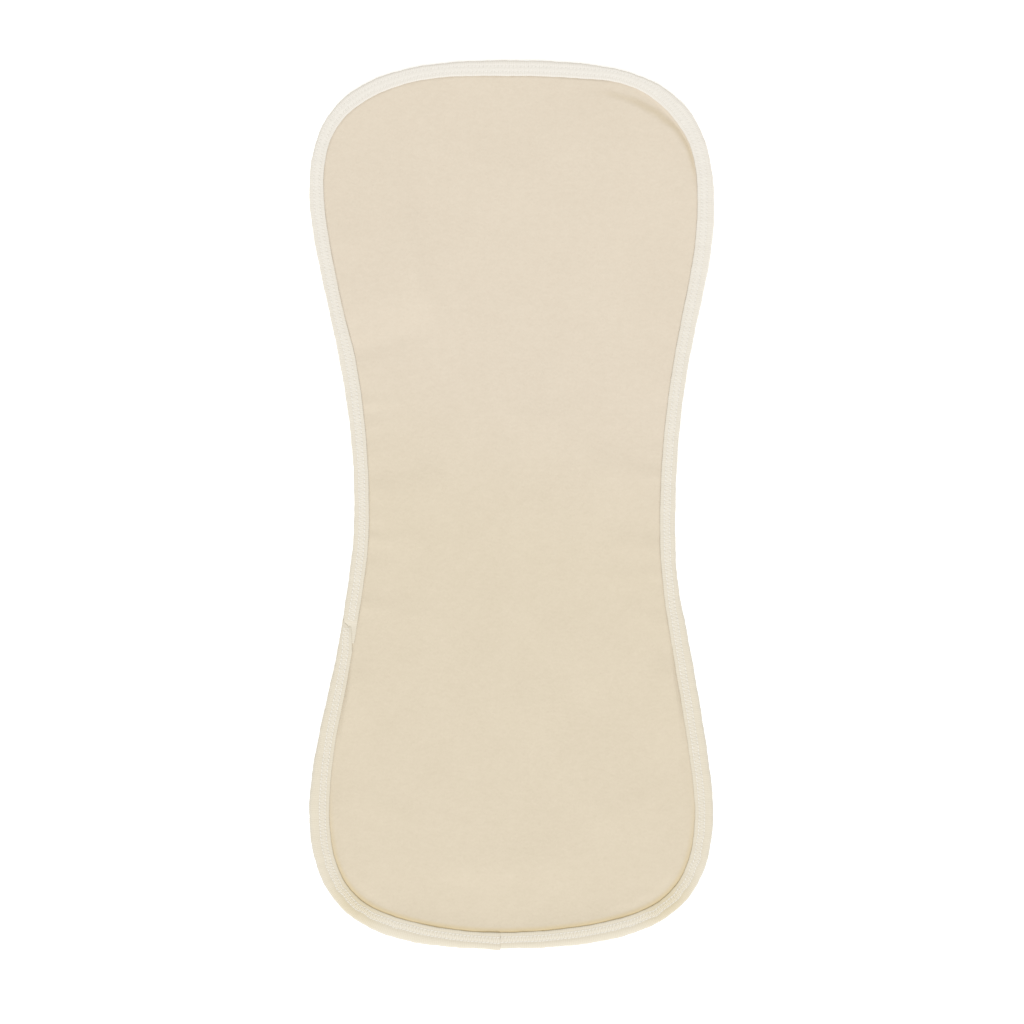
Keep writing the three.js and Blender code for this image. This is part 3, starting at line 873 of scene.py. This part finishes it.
def zigzag(thread, run, first_row, last_row):
    deselect_all()
    bpy.ops.curve.primitive_bezier_curve_add()
    line = bpy.context.object
    spline = line.data.splines[0]
    spline.bezier_points.add(CROSSINGS + 1 - len(spline.bezier_points))
    middle_row = (first_row + last_row) / 2
    across_at = [first_row, middle_row, last_row, middle_row, first_row]
    for index, point in enumerate(spline.bezier_points):
        height = thread["middle"] if index % 2 else thread["turn"]
        point.co = ((index - 1) / CROSSINGS * STITCH * MM, across_at[index] * MM, height * MM)
        point.handle_left_type = "AUTO"
        point.handle_right_type = "AUTO"
    reach = Vector((END_REACH * STITCH * MM, 0, 0))
    for point in (spline.bezier_points[0], spline.bezier_points[-1]):
        point.handle_left_type = "FREE"
        point.handle_right_type = "FREE"
        point.handle_left = point.co - reach
        point.handle_right = point.co + reach
    line.data.bevel_depth = thread["thickness"] / 2 * MM
    line.data.bevel_resolution = 1
    line.data.resolution_u = 3
    bpy.ops.object.convert(target="MESH")
    return lay_thread(bpy.context.object, run)


cover_pieces = [zigzag(COVER_THREAD, run, INNER_ROW, OUTER_ROW) for run in (LONG_RUN, SHORT_RUN)]
cover_thread = join_pieces("cover_thread", cover_pieces)
looper_pieces = [
    zigzag(LOOPER_THREAD, run, *rows)
    for run in (LONG_RUN, SHORT_RUN)
    for rows in ((INNER_ROW, OUTER_ROW), (OUTER_ROW, INNER_ROW))
]
looper_thread = join_pieces("looper_thread", looper_pieces)
print("cover thread", len(cover_thread.data.polygons), "faces")
print("looper thread", len(looper_thread.data.polygons), "faces")

# %% [markdown]
# ## Materials
#
# The panel is a brushed cotton jersey in a warm oatmeal, the binding a cream rib, and the thread a
# slightly lighter cream. A small helper adds a node and links what it is given: a number is typed into
# the socket, and another node's output is joined to it.

# %% Node helper
def add_node(tree, kind, inputs=(), **settings):
    made = tree.nodes.new(kind)
    for name, value in settings.items():
        setattr(made, name, value)
    for name, value in dict(inputs).items():
        if isinstance(value, bpy.types.NodeSocket):
            tree.links.new(value, made.inputs[name])
        else:
            made.inputs[name].default_value = value
    return made


def math_node(tree, operation, first, second=0.0):
    return add_node(tree, "ShaderNodeMath", {0: first, 1: second}, operation=operation).outputs[0]


def two_tones(tree, factor, deep, light, clamped=True):
    colours = {0: factor, 6: deep, 7: light}
    return add_node(tree, "ShaderNodeMix", colours, data_type="RGBA", clamp_factor=clamped).outputs[2]


def noise(tree, place, scale, detail, roughness=0.5):
    settings = {"Vector": place, "Scale": scale, "Detail": detail, "Roughness": roughness}
    return add_node(tree, "ShaderNodeTexNoise", settings).outputs[0]


def carried(tree, name):
    """The number that a piece carries on each of its points under this name."""
    return add_node(tree, "ShaderNodeAttribute", attribute_name=name).outputs["Fac"]


def smooth_change(tree, place, start, end):
    """0 up to the start and 1 from the end on, both in millimetres, with a smooth change between."""
    limits = {"Value": place, "From Min": start * MM, "From Max": end * MM}
    return add_node(tree, "ShaderNodeMapRange", limits, interpolation_type="SMOOTHSTEP").outputs[0]


SOFT_YARN = {"Specular IOR Level": 0.2, "Sheen Roughness": 0.5}


def cloth_material(name, roughness, sheen):
    material = bpy.data.materials.new(name)
    material.use_nodes = True
    tree = material.node_tree
    shader = tree.nodes["Principled BSDF"]
    for socket, value in {**SOFT_YARN, "Roughness": roughness, "Sheen Weight": sheen}.items():
        shader.inputs[socket].default_value = value
    return material, tree, shader


print("every cloth material starts with", SOFT_YARN)

# %% [markdown]
# The jersey's face is columns of small V-shaped stitches, 0.75 mm wide. The column number and the
# place in the column come from the object's own coordinates, and a sine over the slanted lines draws
# the two legs of each V. Brushing lifts fibres out of the stitches, so a fine noise lies over the
# pattern and a coarser one clumps them. Both become bumps, because they are too small for the mesh.

# %% Panel knit, stitches and fibres
WALE = 0.75
COURSE = 0.62
V_SLANT = 1.4
BRUSHED = {"fibres": 620.0, "clumps": 240.0, "patches": 28.0, "roughness": 0.6}

panel_knit, tree, shader = cloth_material("panel_knit", 0.95, 0.25)
place = add_node(tree, "ShaderNodeTexCoord").outputs["Object"]
axes = add_node(tree, "ShaderNodeSeparateXYZ", {0: place})
column = math_node(tree, "MULTIPLY", axes.outputs["X"], 1 / (WALE * MM))
from_centre = math_node(tree, "SUBTRACT", math_node(tree, "FRACT", column), 0.5)
beside_column = math_node(tree, "ABSOLUTE", from_centre)
row = math_node(tree, "MULTIPLY", axes.outputs["Y"], 1 / (COURSE * MM))
slanted = math_node(tree, "ADD", row, math_node(tree, "MULTIPLY", beside_column, V_SLANT))
leg = math_node(tree, "SINE", math_node(tree, "MULTIPLY", slanted, math.tau))
rounded = math_node(tree, "SINE", math_node(tree, "MULTIPLY", beside_column, math.tau))
loops = math_node(tree, "MULTIPLY", leg, rounded)
fibres = noise(tree, place, BRUSHED["fibres"], 4.0, BRUSHED["roughness"])
clumps = noise(tree, place, BRUSHED["clumps"], 3.0, BRUSHED["roughness"])
patches = noise(tree, place, BRUSHED["patches"], 3.0, BRUSHED["roughness"])
fine = math_node(tree, "MULTIPLY", math_node(tree, "ADD", fibres, clumps), 0.5)
knit_bump = add_node(tree, "ShaderNodeBump", {"Height": loops, "Strength": 0.2, "Distance": 0.12 * MM})
fibre_bump = add_node(
    tree, "ShaderNodeBump",
    {"Height": fine, "Strength": 0.6, "Distance": 0.6 * MM, "Normal": knit_bump.outputs[0]},
)
tree.links.new(fibre_bump.outputs[0], shader.inputs["Normal"])
print("panel knit relief with", len(tree.nodes), "nodes")

# %% [markdown]
# The colour follows the same noise, from a deep oatmeal in the fine hollows to a light one on the raised
# fibres: random tone, with painted shade in the hollows and painted light on the fibres. The upper half is
# painted a shade paler and cooler than the lower one, a painted fall-off of the light that is palest towards
# the upper right. Right beside the binding's lower end and in the pulled corner's crease the colour is
# painted deeper, as painted shade for the shadow there and the light bounced between the two cloths. The
# numbers that the panel's points carry say where that is.

# %% Panel knit, colour
OATMEAL_UPPER = {"light": (0.693, 0.610, 0.496, 1), "deep": (0.585, 0.503, 0.397, 1)}
OATMEAL_LOWER = {"light": (0.677, 0.594, 0.463, 1), "deep": (0.569, 0.490, 0.368, 1)}
OATMEAL_PAINTED_SHADE = (0.625, 0.50, 0.285, 1)
SEAM_REACH = 3.0
CREASE_SHARE = 0.3
LOWER_SEAM = {"from": -150, "to": -235}
PAINTED_LIGHT_FALLOFF = {"upper": 85, "lower": -35, "lean": 0.25}
FINE_SHARE = 0.7
PATCH_SHARE = 0.3

# Random tone, which also paints shade into the fine hollows and light onto the raised fibres
fine_part = math_node(tree, "MULTIPLY", fine, FINE_SHARE)
tone = math_node(tree, "ADD", fine_part, math_node(tree, "MULTIPLY", patches, PATCH_SHARE))
# Painted fall-off of the light: paler and cooler towards the top and a little towards the right, warmer below
lean = math_node(tree, "MULTIPLY", axes.outputs["X"], PAINTED_LIGHT_FALLOFF["lean"])
leaning = math_node(tree, "ADD", axes.outputs["Y"], lean)
lower = smooth_change(tree, leaning, PAINTED_LIGHT_FALLOFF["upper"], PAINTED_LIGHT_FALLOFF["lower"])
light_tone = two_tones(tree, lower, OATMEAL_UPPER["light"], OATMEAL_LOWER["light"])
deep_tone = two_tones(tree, lower, OATMEAL_UPPER["deep"], OATMEAL_LOWER["deep"])
mottled = two_tones(tree, tone, deep_tone, light_tone)
# Painted shade beside the binding's lower end and in the pulled corner's crease
off_the_seam = math_node(tree, "DIVIDE", carried(tree, "beyond_binding"), SEAM_REACH)
seam_limits = {"Value": off_the_seam, "From Min": 1.0, "From Max": 0.0}
at_seam = add_node(tree, "ShaderNodeMapRange", seam_limits).outputs[0]
at_lower_end = smooth_change(tree, axes.outputs["Y"], LOWER_SEAM["from"], LOWER_SEAM["to"])
at_lower_seam = math_node(tree, "MULTIPLY", at_seam, at_lower_end)
in_crease = math_node(tree, "MULTIPLY", carried(tree, "in_crease"), CREASE_SHARE)
painted_shade = math_node(tree, "MAXIMUM", at_lower_seam, in_crease)
tree.links.new(two_tones(tree, painted_shade, mottled, OATMEAL_PAINTED_SHADE), shader.inputs["Base Color"])
panel.data.materials.append(panel_knit)
print("panel knit with", len(tree.nodes), "nodes")

# %% [markdown]
# The rib of the binding runs across it, so its pattern reads the two numbers that each strip carries.
# The ribs are in the mesh already. The material adds the finer loops along each rib, and paints the valleys
# between the ribs a shade deeper as painted shade.

# %% Binding rib, loops and fuzz
RIB_LOOP = 0.55
RIBS_PER_STITCH = 2
LOOP_SHARE = 0.35
RIB_SHADE_SHARE = 0.55
FUZZ_SHARE = 0.45

binding_rib, tree, shader = cloth_material("binding_rib", 0.9, 0.2)
along = carried(tree, "stitches_along")
around = carried(tree, "around")
place = add_node(tree, "ShaderNodeTexCoord").outputs["Object"]
axes = add_node(tree, "ShaderNodeSeparateXYZ", {0: place})
valley = math_node(tree, "COSINE", math_node(tree, "MULTIPLY", along, RIBS_PER_STITCH * math.tau))
loop_wave = math_node(tree, "SINE", math_node(tree, "MULTIPLY", around, math.tau / RIB_LOOP))
fuzz = noise(tree, place, 900.0, 3.0)
# Painted shade: the valleys between the ribs are painted darker than their crowns
crown = math_node(tree, "MULTIPLY", math_node(tree, "SUBTRACT", 1.0, valley), 0.5)
crown_part = math_node(tree, "MULTIPLY", crown, RIB_SHADE_SHARE)
tone = math_node(tree, "ADD", crown_part, math_node(tree, "MULTIPLY", fuzz, FUZZ_SHARE))
relief = math_node(tree, "ADD", math_node(tree, "MULTIPLY", loop_wave, LOOP_SHARE), fuzz)
rib_bump = add_node(tree, "ShaderNodeBump", {"Height": relief, "Strength": 0.5, "Distance": 0.15 * MM})
tree.links.new(rib_bump.outputs[0], shader.inputs["Normal"])
print("binding rib relief with", len(tree.nodes), "nodes")

# %% [markdown]
# The colour of the rib changes along the cloth. From the top to the lower end the cream grows warmer and
# darker, a painted fall-off of the light, most of all round the two lower corners, where painted shade
# deepens it. The rolled edge, which the light grazes, is painted: a painted highlight at the upper end and a
# duller painted tone at the lower end. The needle holes are painted darker, as painted shade for the little
# light that gets in, most of all towards the lower end.

# %% Binding rib, colour
CREAM_UPPER = {"light": (0.758, 0.723, 0.665, 1), "deep": (0.679, 0.635, 0.568, 1)}
CREAM_LOWER = {"light": (0.700, 0.639, 0.522, 1), "deep": (0.627, 0.563, 0.448, 1)}
PAINTED_HOLE_SHADE = (0.66, 0.61, 0.52, 1)
FOLD_PAINTED_HIGHLIGHT = (0.88, 0.84, 0.765, 1)
FOLD_PAINTED_LOWER = (0.63, 0.59, 0.51, 1)
FOLD_REACH = 2.0
HOLE_SHARE = {"upper": 0.0, "lower": 1.0}
CREAM_PAINTED_FALLOFF = {"upper": 300, "lower": -150}
CORNER_SHADE = {"corner x": 88, "corner y": -226, "reach": 26, "strength": 0.75}
FOLD_AT = float(section_lengths[SECTION[:, 0].argmax()])

# Painted shade round the two lower corners of the binding
from_middle = math_node(tree, "ABSOLUTE", axes.outputs["X"])
from_corner_x = math_node(tree, "SUBTRACT", from_middle, CORNER_SHADE["corner x"] * MM)
from_corner_y = math_node(tree, "SUBTRACT", axes.outputs["Y"], CORNER_SHADE["corner y"] * MM)
squared_x = math_node(tree, "POWER", from_corner_x, 2.0)
squared_y = math_node(tree, "POWER", from_corner_y, 2.0)
from_corner = math_node(tree, "SQRT", math_node(tree, "ADD", squared_x, squared_y))
corner_shade = smooth_change(tree, from_corner, CORNER_SHADE["reach"], 0)
# Painted fall-off of the light: the cream is warmer and darker towards the lower end
low_down = smooth_change(tree, axes.outputs["Y"], CREAM_PAINTED_FALLOFF["upper"], CREAM_PAINTED_FALLOFF["lower"])
lower = math_node(tree, "ADD", low_down, math_node(tree, "MULTIPLY", corner_shade, CORNER_SHADE["strength"]))
light_tone = two_tones(tree, lower, CREAM_UPPER["light"], CREAM_LOWER["light"], clamped=False)
deep_tone = two_tones(tree, lower, CREAM_UPPER["deep"], CREAM_LOWER["deep"], clamped=False)
ribbed = two_tones(tree, tone, deep_tone, light_tone)
# The rolled edge is painted: a painted highlight at the upper end, a duller painted tone at the lower end
from_fold = math_node(tree, "ABSOLUTE", math_node(tree, "SUBTRACT", around, FOLD_AT))
at_fold = add_node(
    tree, "ShaderNodeMapRange", {"Value": from_fold, "From Min": FOLD_REACH, "From Max": 0.0},
    interpolation_type="SMOOTHSTEP").outputs[0]
folded = two_tones(tree, at_fold, ribbed, two_tones(tree, low_down, FOLD_PAINTED_HIGHLIGHT, FOLD_PAINTED_LOWER))
# Painted shade in the needle holes, stronger towards the lower end
hole_share = add_node(
    tree, "ShaderNodeMapRange",
    {"Value": low_down, "To Min": HOLE_SHARE["upper"], "To Max": HOLE_SHARE["lower"]}).outputs[0]
shaded_hole = math_node(tree, "MULTIPLY", carried(tree, "needle_hole"), hole_share)
tree.links.new(two_tones(tree, shaded_hole, folded, PAINTED_HOLE_SHADE), shader.inputs["Base Color"])
for strip in (binding_long, binding_short):
    strip.data.materials.append(binding_rib)
print("binding rib with", len(tree.nodes), "nodes")

# %% [markdown]
# Sewing thread is spun, so it has a fine twist and a little more gloss than the knit. A twist could be
# drawn as slanted lines, but at this scale an even noise is enough to break up its highlights. Like the
# rib, the thread is cooler at the top of the cloth, and there it differs less from the rib round it.

# %% Sewing thread
THREAD_UPPER = {"light": (0.795, 0.763, 0.708, 1), "deep": (0.745, 0.711, 0.652, 1)}
THREAD_LOWER = {"light": (0.84, 0.81, 0.75, 1), "deep": (0.79, 0.755, 0.69, 1)}
THREAD_CHANGE = {"upper": 90, "lower": -60}

sewing_thread, tree, shader = cloth_material("sewing_thread", 0.7, 0.15)
place = add_node(tree, "ShaderNodeTexCoord").outputs["Object"]
twist = noise(tree, place, 2500.0, 2.0)
axes = add_node(tree, "ShaderNodeSeparateXYZ", {0: place})
lower = smooth_change(tree, axes.outputs["Y"], THREAD_CHANGE["upper"], THREAD_CHANGE["lower"])
light_tone = two_tones(tree, lower, THREAD_UPPER["light"], THREAD_LOWER["light"])
deep_tone = two_tones(tree, lower, THREAD_UPPER["deep"], THREAD_LOWER["deep"])
tree.links.new(two_tones(tree, twist, deep_tone, light_tone), shader.inputs["Base Color"])
twist_relief = {"Height": twist, "Strength": 0.5, "Distance": 0.08 * MM}
twist_bump = add_node(tree, "ShaderNodeBump", twist_relief)
tree.links.new(twist_bump.outputs[0], shader.inputs["Normal"])
for thread in (needle_rows, cover_thread, looper_thread):
    thread.data.materials.append(sewing_thread)
print("sewing thread with", len(tree.nodes), "nodes")

# %% [markdown]
# ## Floor, light and camera
#
# The cloth lies on a plain white table. A plane is all it takes, with a matt white that glows a little,
# so that it stays near white in the soft shadow round the cloth. It is part of the stage, not of the
# object.

# %% Floor
FLOOR_SIZE = 6.0
TABLE_LOOK = {
    "Base Color": (0.92, 0.92, 0.92, 1), "Roughness": 0.9,
    "Emission Color": (1, 1, 1, 1), "Emission Strength": 0.3,
}

deselect_all()
bpy.ops.mesh.primitive_plane_add(size=FLOOR_SIZE)
floor = bpy.context.object
floor.name = "white_table"
table_white = bpy.data.materials.new("table_white")
table_white.use_nodes = True
for name, value in TABLE_LOOK.items():
    table_white.node_tree.nodes["Principled BSDF"].inputs[name].default_value = value
floor.data.materials.append(table_white)
print("floor", FLOOR_SIZE, "m across")

# %% [markdown]
# The light is a bright, even sky with one broad, soft sun from beyond the lower end of the cloth. It
# lights the south side of each fold and leaves the north side in shade. The camera looks straight down
# through a long lens, from the height at which the view is just as wide as it should be at the middle
# of the cloth's thickness.

# %% Light and camera
SKY_STRENGTH = 0.76
SKY_COLOUR = (1.02, 1.0, 0.95, 1)
SUN_STRENGTH = 2.0
SUN_COLOUR = (0.95, 1.0, 1.08)
SUN_ELEVATION = 50
SUN_SPREAD = 30
VIEW_CENTRE = (0.13, -3.9)
VIEW_WIDTH = 584.5
CLOTH_MIDDLE = 2.0
LENS = 85
SENSOR = 36

scene = bpy.context.scene
scene.view_settings.view_transform = "Standard"
scene.world = scene.world or bpy.data.worlds.new("soft_sky")
scene.world.use_nodes = True
sky = scene.world.node_tree.nodes["Background"]
sky.inputs["Color"].default_value = SKY_COLOUR
sky.inputs["Strength"].default_value = SKY_STRENGTH

bpy.ops.object.light_add(type="SUN", rotation=(math.radians(90 - SUN_ELEVATION), 0, 0))
sun = bpy.context.object
sun.data.energy = SUN_STRENGTH
sun.data.color = SUN_COLOUR
sun.data.angle = math.radians(SUN_SPREAD)

camera_height = VIEW_WIDTH * LENS / SENSOR + CLOTH_MIDDLE
bpy.ops.object.camera_add(location=(VIEW_CENTRE[0] * MM, VIEW_CENTRE[1] * MM, camera_height * MM))
camera = bpy.context.object
camera.data.lens = LENS
camera.data.sensor_width = SENSOR
camera.rotation_euler = (0, 0, 0)
scene.camera = camera
print("camera", round(camera_height), "mm above the table")

# %% [markdown]
# ## Hand the pieces to the frame
#
# Each piece rides on the part's one body and takes the place of the CAD solid that it dresses.

bpy.data.objects.remove(edge_curve)
bindings = [binding_long, binding_short]
threads = [needle_rows, cover_thread, looper_thread]
for piece in [panel, *bindings, *threads]:
    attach(piece, "root")
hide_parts("panel")
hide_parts("binding_long")
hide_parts("binding_short")
